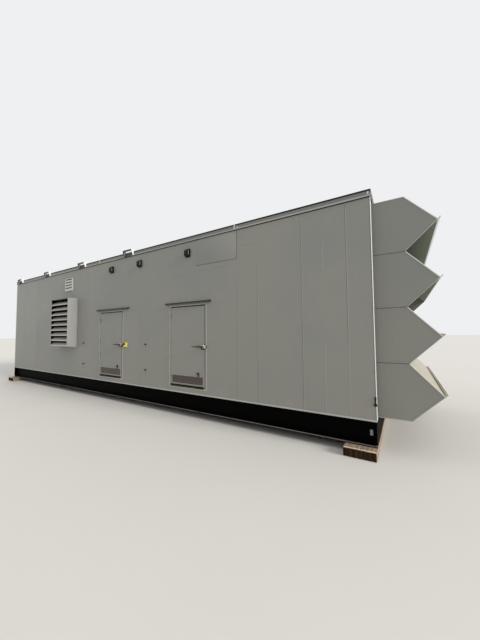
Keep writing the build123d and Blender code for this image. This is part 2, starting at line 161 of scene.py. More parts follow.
def makePaint(name, tone=(1, 1, 1), rough=housingPaint["rough"], sheet=False, paintedUnderside=None):
    look = housingPaint
    material, wire, place = openMaterial(name)
    x, y, z = axes(place)
    broad = noise(place, 0.42, 3, 0.55)
    patch = noise(stretched(place, (1.0, 1.0, 0.5)), 1.7, 4, 0.6)
    runs = noise(stretched(place, (7.0, 7.0, 0.22)), 1.6, 4, 0.62)
    fine = noise(place, 26, 5, 0.65)
    color = mixColors(broad.between(0.30, 0.62), look["cool"], look["tone"])
    color = mixColors(patch.between(0.46, 0.74) * 0.55, color, look["warm"])
    color = mixColors(runs.between(0.54, 0.80) * 0.10, color, look["dust"])
    dust = (floorZ + look["dustTop"] - z).between(0, look["dustTop"]) * patch.between(0.30, 0.72)
    color = mixColors(dust * 0.26 + fine.between(0.5, 0.8) * 0.05, color, look["dust"])
    rough = rough + dust * 0.22 + fine.between(0.35, 0.75) * 0.06
    relief = bump(noise(place, 0.9, 1.5, 0.4), look["wave"], 0.010)
    if sheet:
        # stiffeners behind the sheet print through faintly, and the wall catches have rust runs
        ribs = ((x + stiffener["offset"]).wrap(stiffener["pitch"]) - stiffener["pitch"] / 2).distance()
        broken = noise(stretched(place, (1.3, 0.2, 0.55)), 2.2, 2, 0.5).between(0.54, 0.66)
        line = ribs.between(0, stiffener["half"], 1, 0) * broken
        relief = bump(line, stiffener["relief"], 0.002, relief)
        color = mixColors(line * stiffener["dust"], color, look["dust"])
        for spot in rustRuns["fromHoodEnd"]:
            across = (x - (hoodEnd + spot)).distance().between(0, rustRuns["width"], 1, 0)
            for level in rustRuns["levels"]:
                down = (floorZ + level) - z
                run = across * down.between(0, 0.01) * down.between(0.02, rustRuns["fall"], 1, 0)
                run = run * fine.between(0.2, 0.7) * rustRuns["strength"]
                color = mixColors(run, color, rustRuns["rust"])
    relief = bump(noise(place, 520, 1, 0.5), look["peel"], 0.0008, relief)
    color = mixColors(1, color, tone, "MULTIPLY")
    if paintedUnderside:
        # painted light: a pale olive on what faces down stands for light inside the hood mouths, and the
        # turned-up lips get a painted highlight
        ahead, aside, up = facing(wire)
        color = mixColors(up.between(-0.5, -0.2, 1, 0), color, paintedUnderside)
        color = mixColors(ahead.between(-0.6, -0.4, 1, 0) * up.between(0.3, 0.5), color, look["lipHighlight"])
    closeMaterial(wire, color, rough, relief, look["gloss"])
    return material


wallPaint = makePaint("wall paint", sheet=True)
panelPaint = makePaint("panel paint")
framePaint = makePaint("frame paint", (1.20, 1.20, 1.18), 0.26)
# painted reflection: the posts at the hood end take a much lighter copy of the paint for the bright sky they
# reflect
postReflectionPaint = makePaint("post paint, painted reflection", (1.55, 1.56, 1.58), 0.28)
# painted reflection: a near-white copy of the paint for the corner bead
cornerReflectionPaint = makePaint("corner paint, painted reflection", (3.1, 3.15, 3.4))
fasciaPaint = makePaint("fascia paint", (0.75, 0.74, 0.76))
lipPaint = makePaint("drip lip paint", (1.13, 1.13, 1.14), 0.28)
hoodPaint = makePaint("hood paint", (0.93, 0.93, 0.92))
# painted light: the hood slopes take a lighter, warmer copy of the paint, with a pale olive on their
# undersides
litSlopePaint = makePaint("hood slope paint, painted light", (1.29, 1.17, 0.97), paintedUnderside=(0.405, 0.475, 0.43))
louvrePaint = makePaint("louvre paint", (1.22, 1.23, 1.27), 0.24)
# painted light and shade: the blades take a lighter copy of the paint, their upper sheets a darker one
litBladePaint = makePaint("blade paint, painted light", (1.66, 1.61, 1.66), 0.24)
shadedBladeSheetPaint = makePaint("blade sheet paint, painted shade", (1.22, 1.18, 1.22))
ventPaint = makePaint("vent paint", (2.05, 2.05, 2.0))
trimPaint = makePaint("trim paint", (1.58, 1.62, 1.70))
bandPaint = makePaint("band paint", (2.45, 2.5, 2.5))

# Black enamel of the base, with specks and runs of road dust, and a pale line along the tip of the bottom
# flange that is a painted highlight
basePaint = {"black": (0.0009, 0.0008, 0.0007), "dust": (0.17, 0.155, 0.14), "rough": 0.60, "gloss": 0.03,
             "flangeFoot": 0.010, "flangeTop": 0.045}


def makeBasePaint():
    look = basePaint
    material, wire, place = openMaterial("base enamel")
    x, y, z = axes(place)
    patch = noise(place, 2.4, 5, 0.6)
    specks = noise(place, 60, 4, 0.7)
    runs = noise(stretched(place, (9, 9, 0.6)), 1.5, 3, 0.6)
    # painted highlight: a pale line along the outer tip of the bottom flange, in the dust colour
    tip = y.distance().between(faceY - 0.012, faceY - 0.002)
    tip = tip * (baseFoot + look["flangeTop"] - z).between(0, 0.004)
    tip = tip * (z - baseFoot - look["flangeFoot"]).between(0, 0.006)
    dust = tip * patch.between(0.15, 0.5) * 0.85 + specks.between(0.62, 0.82) * 0.012
    color = mixColors(dust, look["black"], look["dust"])
    color = mixColors(runs.between(0.58, 0.8) * 0.01, color, look["dust"])
    closeMaterial(wire, color, look["rough"] + dust * 0.4, bump(patch, 0.25, 0.006), look["gloss"])
    return material


baseEnamel = makeBasePaint()

# Sawn timber, weathered, with the grain along Y: dark sawn ends, and a pale strip on the outer top edges that
# is a painted highlight
timberLook = {"pale": (0.38, 0.29, 0.21), "dark": (0.17, 0.12, 0.08), "grey": (0.31, 0.26, 0.21),
              "crack": (0.03, 0.02, 0.013), "end": (0.021, 0.0112, 0.0050), "endPale": (0.070, 0.038, 0.017),
              "wearAndLight": (0.72, 0.60, 0.48), "edge": (0.135, 0.160), "rough": 0.82, "gloss": 0.05}


def makeTimber():
    look = timberLook
    material, wire, place = openMaterial("weathered timber")
    ahead, aside, up = facing(wire)
    top = up.between(0.5, 0.9)
    along = noise(stretched(place, (26, 1.1, 26)), 1.5, 6, 0.62)
    saw = noise(stretched(place, (34, 34, 1.2)), 1.4, 5, 0.6)
    splits = noise(stretched(place, (60, 0.7, 60)), 1.0, 3, 0.5).between(0.63, 0.69)
    boards = noise(stretched(place, (0.8, 30, 1)), 1.3, 3, 0.6).between(0.46, 0.62)
    color = mixColors(along.between(0.30, 0.70), look["dark"], look["pale"])
    color = mixColors(noise(place, 2.2, 4, 0.6).between(0.35, 0.75) * 0.6, color, look["grey"])
    color = mixColors(top * boards * 0.55, color, look["dark"])
    # painted highlight: the strip of the top that reaches out past the base is paler
    edge = axes(place)[1].distance().between(*[faceY + inset for inset in look["edge"]]) * top
    color = mixColors(edge * along.between(0.15, 0.4), color, look["wearAndLight"])
    endTone = mixColors(saw.between(0.40, 0.74), look["end"], look["endPale"])
    color = mixColors(aside.distance().between(0.6, 0.9), color, endTone)
    color = mixColors(splits * 0.85, color, look["crack"])
    closeMaterial(wire, color, look["rough"], bump(along - splits * 0.6, 0.7, 0.004), look["gloss"])
    return material


timberWood = makeTimber()


def makeMetal(name, color, rough, metallic=0.0, brush=(1, 1, 1), streak=0.25, specks=0.0,
              stain=(0.12, 0.09, 0.07), gloss=0.5, clouds=6):
    # brushed or cast metal, or satin enamel where metallic is 0
    material, wire, place = openMaterial(name)
    lines = noise(stretched(place, brush), 160, 3, 0.6)
    cloud = noise(place, clouds, 3, 0.55)
    tone = mixColors(lines.between(0.3, 0.7), tuple(channel * (1 - streak) for channel in color), color)
    tone = mixColors(cloud.between(0.45, 0.75) * specks, tone, stain)
    rough = rough + (lines - 0.5) * 0.18 + cloud.between(0.4, 0.8) * 0.08
    closeMaterial(wire, tone, rough, bump(lines, 0.12, 0.0006), gloss, metallic)
    return material


kickSteel = makeMetal("kick plate steel", (0.084, 0.072, 0.060), 0.38, 0.4, brush=(0.02, 1, 1), specks=0.9,
                      stain=(0.088, 0.049, 0.035), clouds=3.4)
brightSteel = makeMetal("bright steel", (0.52, 0.51, 0.48), 0.30, 1.0)
chrome = makeMetal("chrome", (0.66, 0.62, 0.52), 0.20, 1.0, streak=0.2, specks=0.5, stain=(0.20, 0.15, 0.08))
agedBronze = makeMetal("aged bronze", (0.085, 0.068, 0.045), 0.36, 0.6, streak=0.35, specks=0.5,
                       stain=(0.05, 0.035, 0.022))
hingeSteel = makeMetal("hinge steel", (0.27, 0.265, 0.245), 0.40, 0.2, specks=0.3)
darkHardware = makeMetal("dark hardware", (0.014, 0.013, 0.012), 0.42, streak=0.4, gloss=0.25)
lampBlack = makeMetal("lamp enamel", (0.007, 0.007, 0.0075), 0.42, streak=0.3, gloss=0.2)
blackRubber = makeMetal("black rubber", (0.0035, 0.0032, 0.003), 0.85, streak=0.3, gloss=0.08)
edgeSealAndShadow = makeMetal("edge seal and shadow line", (0.016, 0.018, 0.024), 0.6, streak=0.4, gloss=0.2)
sealAndShadowLine = makeMetal("seal and shadow line", (0.150, 0.147, 0.135), 0.60, streak=0.5, gloss=0.15)
lampGlass = makeMetal("lamp glass", (0.006, 0.006, 0.007), 0.16, streak=0.15, gloss=0.2)
lampEdgeHighlight = makeMetal("lamp edge highlight", (0.26, 0.26, 0.25), 0.30, streak=0.2)
lockRed = makeMetal("red enamel", (0.060, 0.010, 0.008), 0.40, streak=0.3)
screenAndShadeBlack = makeMetal("screen and shade black", (0.003, 0.003, 0.003), 0.80, streak=0.6, gloss=0.05)
safetyYellow = makeMetal("yellow enamel", (0.86, 0.74, 0.11), 0.35, streak=0.12)
padMetal = makeMetal("bare pad", (0.27, 0.27, 0.27), 0.46, 0.6, streak=0.3, specks=0.4)
floorPlate = makeMetal("floor plate", (0.10, 0.10, 0.095), 0.55, streak=0.35)

# Drip caps: painted face with a dark shadow line along its top; its underside and turned-in foot are painted
# dark as shade, and the top of each end is painted dark as well
capLook = {"face": (0.275, 0.258, 0.243), "dark": (0.009, 0.007, 0.006), "foot": 0.035, "head": 0.003,
           "rim": 0.011, "rough": 0.45}


def makeCapPaintAndShade():
    look = capLook
    material, wire, place = openMaterial("drip cap paint and shade")
    z = axes(place)[2]
    capLow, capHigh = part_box("drip_caps")
    ahead, aside, up = facing(wire)
    # painted shade: what faces down and the foot of the face go dark
    paintedUnderside = up.between(-0.5, -0.2, 1, 0)
    foot = (z - capLow.z).between(look["foot"] - 0.004, look["foot"], 1, 0)
    head, rim = [(capHigh.z - z).between(look[line], look[line] + 0.002, 1, 0) for line in ("head", "rim")]
    rim = ahead.distance().between(0.7, 0.9) * rim
    streak = noise(stretched(place, (1, 1, 6)), 9, 4, 0.6).between(0.3, 0.7)
    face = mixColors(streak * 0.16, look["face"], look["dark"])
    face = mixColors(head * 0.35, face, look["dark"])
    dark = wire.math("MAXIMUM", wire.math("MAXIMUM", paintedUnderside, foot), rim)
    closeMaterial(wire, mixColors(dark, face, look["dark"]), look["rough"])
    return material


capPaintAndShade = makeCapPaintAndShade()

# Lifting brackets: pale outer faces of the cheeks as painted light, their inner sides darker as painted
# shade, the bar in dark enamel. The pattern repeats from one bracket to the next, starting this far before
# each
bracketLook = {"pale": (0.66, 0.66, 0.66), "dark": (0.035, 0.038, 0.045), "inner": (0.13, 0.13, 0.135),
               "before": 0.5, "rough": 0.4}


def makeBracketLightShadePaint():
    look = bracketLook
    material, wire, place = openMaterial("bracket paint, painted light and shade")
    ahead = facing(wire)[0]
    before = look["before"]
    fromFirst = (axes(place)[0] - (bracketLow.x - before)).wrap(bracketPitch) - before
    # painted light and shade: the outer face of each cheek pale, the inner faces darker
    outer = ((fromFirst - bracketWidth / 2) * ahead).between(0.02, 0.05)
    wearAndLight = noise(place, 60, 4, 0.6).between(0.35, 0.75)
    pale = mixColors(outer, look["inner"], mixColors(wearAndLight * 0.15, look["pale"], look["dark"]))
    dark = mixColors(wearAndLight * 0.05, look["dark"], look["pale"])
    closeMaterial(wire, mixColors(ahead.distance().between(0.8, 0.95), dark, pale), look["rough"])
    return material


bracketLightShadePaint = makeBracketLightShadePaint()

# The finish of every node, by what its name holds
nodeFinish = {"_wall": wallPaint, "_rails": panelPaint, "roof_panel": panelPaint, "_leaf": panelPaint,
              "_leaves": panelPaint, "brackets": bracketLightShadePaint, "_frame": framePaint, "_posts": postReflectionPaint,
              "fascia": fasciaPaint, "cheeks": hoodPaint, "pans": hoodPaint, "slopes": litSlopePaint,
              "cases": louvrePaint, "blades": litBladePaint, "vents": ventPaint, "foot_trim": trimPaint,
              "caps": capPaintAndShade, "beams": baseEnamel, "timbers": timberWood, "fittings": kickSteel,
              "lever": agedBronze, "hinges": hingeSteel, "catches": darkHardware, "keepers": chrome,
              "lamps": lampBlack, "pads": padMetal, "floor": floorPlate}


def setFinish(piece, finish):
    piece.data.materials.clear()
    piece.data.materials.append(finish)


for part, finish in nodeFinish.items():
    for name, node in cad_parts.items():
        if part in name:
            setFinish(node, finish)
print("finishes:", len(nodeFinish))


def pick(*pieces):
    # selects these alone, the first of them active
    bpy.ops.object.select_all(action="DESELECT")
    for piece in pieces:
        piece.select_set(True)
    bpy.context.view_layer.objects.active = pieces[0]


def applyPlace(piece):
    pick(piece)
    bpy.ops.object.transform_apply(location=True, rotation=True, scale=True)
    return piece


def slab(*ends):
    # block between two places on each of X, Y and Z, in either order
    spans = list(zip(ends[::2], ends[1::2]))
    bpy.ops.mesh.primitive_cube_add(size=1, location=[(a + b) / 2 for a, b in spans])
    block = bpy.context.object
    block.scale = [abs(b - a) for a, b in spans]
    return applyPlace(block)


def tiltedSlab(ends, place, turn):
    # slab turned about its own origin and then set in place
    block = slab(*ends)
    block.rotation_euler = turn
    block.location = place
    return applyPlace(block)


def startRod(middle, radius, length, axis="Z", sides=16):
    turns = {"X": (0, pi / 2, 0), "Y": (pi / 2, 0, 0), "Z": (0, 0, 0)}
    bpy.ops.mesh.primitive_cylinder_add(vertices=sides, radius=radius, depth=length, location=middle,
                                        rotation=turns[axis])
    return applyPlace(bpy.context.object)


def startRing(middle, radius, thick, sides):
    # torus that lies in the plane of the wall
    bpy.ops.mesh.primitive_torus_add(major_radius=radius, minor_radius=thick, major_segments=sides,
                                     minor_segments=10, location=middle, rotation=(pi / 2, 0, 0))
    return applyPlace(bpy.context.object)


def startDome(radius, proud, sides=10):
    # low dome of a rivet or screw head, facing -Y
    bpy.ops.mesh.primitive_uv_sphere_add(segments=sides, ring_count=6, radius=radius, location=(0, 0, 0))
    dome = bpy.context.object
    dome.scale = (1, proud / radius, 1)
    return applyPlace(dome)


def barBetween(start, end, y, width, thick):
    # straight bar in the XZ plane from start to end, at the given Y
    along = Vector((end[0] - start[0], 0, end[1] - start[1]))
    ends = (-along.length / 2, along.length / 2, -thick / 2, thick / 2, -width / 2, width / 2)
    middle = ((start[0] + end[0]) / 2, y, (start[1] + end[1]) / 2)
    return tiltedSlab(ends, middle, (0, -atan2(along.z, along.x), 0))


def selectFaces(piece, test):
    # leaves the piece in edit mode with the faces selected whose normal passes
    pick(piece)
    bpy.ops.object.mode_set(mode="EDIT")
    bpy.ops.mesh.select_mode(type="FACE")
    bpy.ops.mesh.select_all(action="DESELECT")
    bpy.ops.object.mode_set(mode="OBJECT")
    for polygon in piece.data.polygons:
        polygon.select = test(polygon.normal)
    bpy.ops.object.mode_set(mode="EDIT")


def applyModifier(piece, kind, settings):
    pick(piece)
    modifier = piece.modifiers.new("Step", kind)
    for name, value in settings.items():
        setattr(modifier, name, value)
    bpy.ops.object.modifier_apply(modifier=modifier.name)
    return piece


def roundEdges(piece, width, segments=2, angle=30):
    return applyModifier(piece, "BEVEL", {"width": width, "segments": segments, "limit_method": "ANGLE",
                                          "angle_limit": radians(angle)})


def cutAway(piece, tool):
    applyModifier(piece, "BOOLEAN", {"operation": "DIFFERENCE", "object": tool, "solver": "EXACT"})
    bpy.data.objects.remove(tool)
    return piece


def joinPieces(parts):
    pick(*parts)
    if len(parts) > 1:
        bpy.ops.object.join()
    return bpy.context.view_layer.objects.active


def copyOf(piece):
    copy = piece.copy()
    copy.data = piece.data.copy()
    bpy.context.collection.objects.link(copy)
    return copy


def copiesAt(piece, places):
    # one copy with its own mesh at each place; the model itself is removed
    copies = []
    for place in places:
        copies.append(copyOf(piece))
        copies[-1].location = place
    bpy.data.objects.remove(piece)
    return applyPlace(joinPieces(copies))


def farCopy(piece):
    # the same piece on the far side, turned right side out
    copy = copyOf(piece)
    copy.scale = (1, -1, 1)
    applyPlace(copy)
    bpy.ops.object.mode_set(mode="EDIT")
    bpy.ops.mesh.select_all(action="SELECT")
    bpy.ops.mesh.normals_make_consistent(inside=False)
    bpy.ops.object.mode_set(mode="OBJECT")
    return copy


def mirroredBack(piece):
    return joinPieces([piece, farCopy(piece)])


def finishPiece(piece, name, finish, body="housing", nodes=(), smooth=30):
    applyPlace(piece)
    piece.name = name
    piece.data.name = name
    setFinish(piece, finish)
    bpy.ops.object.shade_smooth_by_angle(angle=radians(smooth))
    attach(piece, body)
    if nodes:
        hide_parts(*nodes)


def addTrim(parts, name, finish, width=0.001, segments=1, angle=30, bothSides=True):
    # the parts as one piece with rounded edges, as they are or repeated on the far side
    piece = roundEdges(joinPieces(parts), width, segments, angle)
    finishPiece(mirroredBack(piece) if bothSides else piece, name, finish, smooth=angle)


def wallStrip(left, right, foot, head, proud):
    # thin block on the near wall, measured back from the hood end and up from the floor
    return slab(hoodEnd - left, hoodEnd - right, -faceY - proud, bite - faceY, floorZ + foot, floorZ + head)


# Laps between wall sheets, raised beads with a dark strip beside some as a painted shadow line: place from
# the hood end, foot and head over the floor
wallJoint = {"near": ((0.355, 0.03, 3.38), (1.085, 0.03, 3.38), (1.94, 0.03, 2.66), (2.39, 0.03, 2.60),
                      (0.73, 2.30, 2.80), (0.72, 0.07, 1.15)),
             "far": ((5.35, 0.03, 3.38), (7.87, 0.03, 3.38), (11.20, 0.03, 3.38), (12.30, 0.03, 3.38)),
             "lines": ((0.355, 1.15, 3.376), (1.085, 0.034, 3.376), (1.94, 0.034, 2.656),
                       (2.39, 0.034, 2.596)),
             "endWall": (-0.68, 0.68), "half": 0.0055, "proud": 0.0022, "round": 0.002,
             "shadowLineWidth": 0.0048, "shadowLineProud": 0.0014}


def makeWallJoints():
    look = wallJoint
    half, proud = look["half"], look["proud"]
    near, far = [[wallStrip(place + half, place - half, foot, head, proud) for place, foot, head in look[row]]
                 for row in ("near", "far")]
    addTrim(far, "far_wall_joints", wallPaint, width=look["round"] / 2)
    ends = [slab(plainEnd - proud, plainEnd + bite, y - half, y + half, floorZ + 0.01, fasciaLow.z - 0.02)
            for y in look["endWall"]]
    joints = [mirroredBack(joinPieces(near)), *ends]
    addTrim(joints, "wall_joints", louvrePaint, width=look["round"], segments=2, bothSides=False)
    # painted shadow: dark strips on the side of the laps that faces away from the light
    lines = [wallStrip(place + half + look["shadowLineWidth"], place + half, foot, head, look["shadowLineProud"])
             for place, foot, head in look["lines"]]
    addTrim(lines, "wall_joint_shadow_lines", sealAndShadowLine, 0.0006)


makeWallJoints()

# Level laps that show faintly on the wall: x from and to, from the hood end, and level over the floor
levelLap = {"runs": ((6.79, 6.17, 2.44), (4.09, 3.69, 2.66), (3.41, 2.41, 2.69), (3.02, 2.457, 1.95),
                     (2.291, 1.998, 3.046)), "half": 0.0045, "proud": 0.0022, "round": 0.002}


def makeLevelLaps():
    look = levelLap
    laps = [wallStrip(start, stop, level - look["half"], level + look["half"], look["proud"])
            for start, stop, level in look["runs"]]
    addTrim(laps, "level_laps", panelPaint, width=look["round"], segments=2)


makeLevelLaps()

# Cover plate high on the wall near the hood end, up to the painted shadow line under the fascia, with a dark
# bead along its foot and right edge that is a painted shadow line
coverPlate = {"x": (3.469, 2.417), "foot": 2.814, "proud": 0.003, "round": 0.0012,
              "seal": 0.009, "sealProud": 0.0038, "sealRound": 0.002}


def makeCoverPlates():
    look = coverPlate
    left, right = look["x"]
    foot, head = look["foot"], fasciaLow.z - fasciaShadowLine - floorZ
    plate = wallStrip(left, right, foot, head, look["proud"])
    addTrim([plate], "cover_plates", wallPaint, width=look["round"], segments=2)
    edge, proud = look["seal"], look["sealProud"]
    # painted shadow: a dark bead along the foot and the right edge of the plate
    shadowBeads = [wallStrip(left, right - edge, foot - edge, foot, proud),
             wallStrip(right, right - edge, foot, head, proud)]
    addTrim(shadowBeads, "cover_shadow_seals", sealAndShadowLine, look["sealRound"], 2)


makeCoverPlates()


def bracketSpans(margin):
    # where the brackets stand along the housing, each with a margin on both sides
    starts = [bracketLow.x + bracketPitch * n for n in range(bracketCount)]
    return [(start - margin, start + bracketWidth + margin) for start in starts]


def betweenBrackets(start, stop, margin=0.002, least=0.01):
    # the lengths from start to stop that the brackets leave free
    edges = [start, *[edge for span in bracketSpans(margin) for edge in span], stop]
    return [(low, high) for low, high in zip(edges[::2], edges[1::2]) if high - low > least]


# Dark drip strip over the roof edge, and a dark strip under the fascia that is a painted shadow line
roofEdge = {"height": 0.026, "proud": 0.0025, "onRoof": 0.05, "thick": 0.0025, "depth": 0.004,
            "round": 0.0008, "hoodEnd": (0.001, 0.024), "hoodEndThick": 0.002}


def makeRoofEdge():
    look = roofEdge
    low, high, depth, onRoof = roofZ - look["height"], roofZ + look["thick"], look["depth"], look["onRoof"]
    # painted shadow: the dark strip under the fascia reaches from here up to the fascia
    shadowLineFoot = fasciaLow.z - fasciaShadowLine
    bars = []
    for side in (-1, 1):
        skin = -fasciaLow.y * side
        for start, stop in betweenBrackets(fasciaLow.x, fasciaHigh.x):
            bars.append(slab(start, stop, skin - side * depth, skin + side * look["proud"], low, high))
            bars.append(slab(start, stop, skin - side * onRoof, skin, roofZ, high))
        bars.append(slab(plainEnd, hoodEnd, side * faceY, side * (faceY + depth), shadowLineFoot, fasciaLow.z))
    for way, skin, wall, proud in ((-1, fasciaLow.x, plainEnd, 0), (1, fasciaHigh.x, hoodEnd, look["proud"])):
        bars.append(slab(skin - way * depth, skin + proud, fasciaLow.y, fasciaHigh.y, low, high))
        bars.append(slab(skin - way * onRoof, skin, fasciaLow.y, fasciaHigh.y, roofZ, high))
        bars.append(slab(wall, wall + way * depth, -faceY, faceY, shadowLineFoot, fasciaLow.z))
    foot, head = [fasciaLow.z + level for level in look["hoodEnd"]]
    thick = look["hoodEndThick"]
    bars.append(slab(fasciaHigh.x - thick, fasciaHigh.x + thick, fasciaLow.y + depth, fasciaHigh.y - depth,
                     foot, head))
    addTrim(bars, "roof_edge_seal_and_shadow", edgeSealAndShadow, look["round"], bothSides=False)


makeRoofEdge()

# Drip lip that flares from the foot of the fascia on the long sides
dripLip = {"tall": 0.032, "thick": 0.003, "lean": 14, "round": 0.0012}


def makeDripLips():
    look = dripLip
    half, lean = look["tall"] / 2, radians(look["lean"])
    lips = []
    for start, stop in betweenBrackets(fasciaLow.x + 0.004, fasciaHigh.x - 0.001):
        reach = (stop - start) / 2
        middle = ((start + stop) / 2, fasciaLow.y - half * sin(lean), fasciaLow.z + half - bite)
        lips.append(tiltedSlab((-reach, reach, 0, look["thick"], -half, half), middle, (-lean, 0, 0)))
    addTrim(lips, "drip_lips", lipPaint, width=look["round"], segments=2)


makeDripLips()

# Rivets along the fascia and clips over its joints, with the lapped seams across the roof. A clip has its
# place from the hood end, its height and how far it hangs below the roof
roofFixing = {"pitch": 0.30, "rivet": (0.005, 0.0022), "level": 0.046,
              "clips": ((0.027, 0.036, 0.034), (2.385, 0.030, 0.056), (2.455, 0.092, 0.004),
                        (7.19, 0.085, 0.006)),
              "clipSize": (0.020, 0.006), "seams": 9, "seamWidth": 0.045, "seamRise": 0.006,
              "seamInset": 0.06}


def makeRoofFixings():
    look = roofFixing
    length = hoodEnd - plainEnd
    places = [plainEnd + look["pitch"] * (n + 0.5) for n in range(int(length / look["pitch"]))]
    places = [(x, fasciaLow.y, fasciaLow.z + look["level"]) for x in places
              if not any(low < x < high for low, high in bracketSpans(0.01))]
    rivets = copiesAt(startDome(*look["rivet"]), places)
    finishPiece(mirroredBack(rivets), "fascia_rivets", fasciaPaint)
    wide, deep = look["clipSize"]
    clips = []
    for place, tall, drop in look["clips"]:
        x, foot = hoodEnd - place, roofZ - tall - drop
        clips.append(slab(x - wide / 2, x + wide / 2, fasciaLow.y - deep, fasciaLow.y, foot, foot + tall))
    addTrim(clips, "fascia_clips", bandPaint, width=0.002, segments=2)
    half, reach = look["seamWidth"] / 2, faceY - look["seamInset"]
    seams = []
    for n in range(1, look["seams"] + 1):
        x = plainEnd + length / (look["seams"] + 1) * n
        seams.append(slab(x - half, x + half, -reach, reach, roofZ - bite, roofZ + look["seamRise"]))
    addTrim(seams, "roof_seams", panelPaint, width=0.004, segments=2, bothSides=False)


makeRoofFixings()
print("wall and roof trim done")

# Hoods: rolled hems on the edges of the cheeks in lighter paint as painted highlights, seals between the
# modules, pale rolls along the lips as painted highlights and dark beads beside them as painted shadow lines,
# flange beside the cheeks. A roll has its distance behind and over the slope's lip, and its radius
hoodTrim = {"hem": 0.013, "hemThick": 0.006, "hemRound": 0.0022, "seal": 0.009, "sealProud": 0.003,
            "start": 0.005, "roll": (0.0066, 0.0262, 0.0055), "bead": 0.0036, "sideGap": 0.002,
            "flange": 0.034, "flangeThick": 0.004, "rivetPitch": 0.18, "rivet": 0.006}


def makeHoodTrim():
    look = hoodTrim
    rise = (cheekHigh.z - cheekLow.z) / hoodCount
    levels = [cheekLow.z + rise * n for n in range(hoodCount + 1)]
    tipX, outer = cheekHigh.x, cheekLow.y
    hem, thick, start = look["hem"], look["hemThick"], hoodEnd + look["start"]
    back, lift, radius = look["roll"]
    wide = slopeHigh.y - slopeLow.y - 2 * look["sideGap"]
    y = outer - thick / 2 + bite
    upper, hems = [], []
    for level in levels[1:]:
        tip = (tipX - 0.004, level - hoodDrop - 0.008)
        upper.append(barBetween((hoodBend - 0.004, level - 0.004), tip, y, hem, thick))
        hems.append(barBetween(tip, (hoodBend - 0.002, level - rise + 0.008), y, hem * 0.7, thick))
    for foot, head in ((levels[-1] - hem, levels[-1] - bite), (levels[0] + bite, levels[0] + hem)):
        hems.append(slab(start, hoodBend, y - thick / 2, y + thick / 2, foot, head))
    seals = [slab(start, hoodBend - 0.004, outer - look["sealProud"], outer + bite,
                  level - look["seal"] / 2, level + look["seal"] / 2) for level in levels[1:-1]]
    # painted highlights: the hems take the lighter trim and band paints
    addTrim(hems, "hood_lit_hems", trimPaint, width=look["hemRound"], segments=2)
    addTrim(upper, "hood_slope_lit_hems", bandPaint, width=look["hemRound"], segments=2)
    addTrim(seals, "hood_seals", sealAndShadowLine)
    lips = [level - hoodDrop for level in levels[1:]]
    highlightRolls = [startRod((slopeHigh.x - back, 0, lip + lift), radius, wide, "Y", 10) for lip in lips]
    shadowBeads = [startRod((tipX - bite, 0, lip + 0.003), look["bead"], wide, "Y", 10) for lip in lips]
    # painted highlight on the pale rolls, painted shadow line in the dark beads
    addTrim(highlightRolls, "hood_lip_highlight_rolls", bandPaint, segments=2, angle=60, bothSides=False)
    addTrim(shadowBeads, "hood_lip_shadow_beads", sealAndShadowLine, segments=2, angle=60, bothSides=False)
    front, middle = hoodEnd + look["flangeThick"], outer - look["flange"] / 2
    flange = slab(hoodEnd - bite, front, outer - look["flange"], outer - bite, levels[0], levels[-1])
    count = int((levels[-1] - levels[0]) / look["rivetPitch"])
    places = [(front + 0.002, middle, levels[0] + look["rivetPitch"] * (n + 0.5)) for n in range(count)]
    heads = copiesAt(startRod((0, 0, 0), look["rivet"], look["rivet"], "X", 6), places)
    flange = joinPieces([roundEdges(flange, 0.001, 1), heads])
    finishPiece(mirroredBack(flange), "hood_flanges", fasciaPaint)


makeHoodTrim()

# Bright bead up the corner of the wall at the hood end, its pale colour a painted reflection, with a dark
# line beside it as a painted shadow line
cornerBead = {"radius": 0.0048, "ahead": 0.003, "proud": 0.0015, "inset": 0.01,
              "line": (0.0095, 0.0035), "shadowLineProud": 0.0012, "lineRound": 0.0005}


def makeCornerBeads():
    look = cornerBead
    foot, head = floorZ + look["inset"], fasciaLow.z - look["inset"]
    middle = (hoodEnd + look["ahead"], look["proud"] - faceY, (foot + head) / 2)
    bead = startRod(middle, look["radius"], head - foot, "Z", 12)
    addTrim([bead], "corner_reflection_beads", cornerReflectionPaint, segments=2, angle=60)
    left, right = look["line"]
    line = wallStrip(left, right, look["inset"], head - floorZ, look["shadowLineProud"])
    addTrim([line], "corner_shadow_lines", sealAndShadowLine, look["lineRound"])


makeCornerBeads()
print("hood trim done")

# Intake boxes: folded edges, a black screen and black liners inside as painted shade, black strips between
# the vent's blades as painted shadow, nosings in a lighter paint as painted highlight and upper sheets of the
# blades in a darker one as painted shade, screws
intakeTrim = {"fold": 0.024, "foldThick": 0.0025, "inset": 0.022, "behindBlades": 0.096,
              "screenThick": 0.004, "screenInset": (0.007, 0.028), "linerThick": 0.0015, "hem": 0.007,
              "sheet": 0.005, "nose": 0.032, "count": 9,
              "upper": {"deep": 0.088, "rise": 0.074, "thick": 0.0015},
              "screw": (0.006, 0.003), "screwPitch": 0.22, "screwOut": (0.030, 0.020), "across": 5}
ventShadow = {"count": 4, "side": 0.026, "foot": 0.020, "ends": 0.048, "tall": 0.022, "depth": (0.008, 0.010)}


def makeVentShadows():
    look = ventShadow
    low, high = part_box("vents")
    near, far = [low.y + depth for depth in look["depth"]]
    step = (high.z - low.z - look["ends"]) / look["count"]
    heads = [low.z + look["foot"] + step * n for n in range(1, look["count"] + 1)]
    # painted shadow: black strips just under each blade of the vent
    shadowStrips = [slab(low.x + look["side"], high.x - look["side"], near, far, head - look["tall"], head - bite)
            for head in heads]
    addTrim(shadowStrips, "vent_shadow_strips", screenAndShadeBlack, 0.0005)


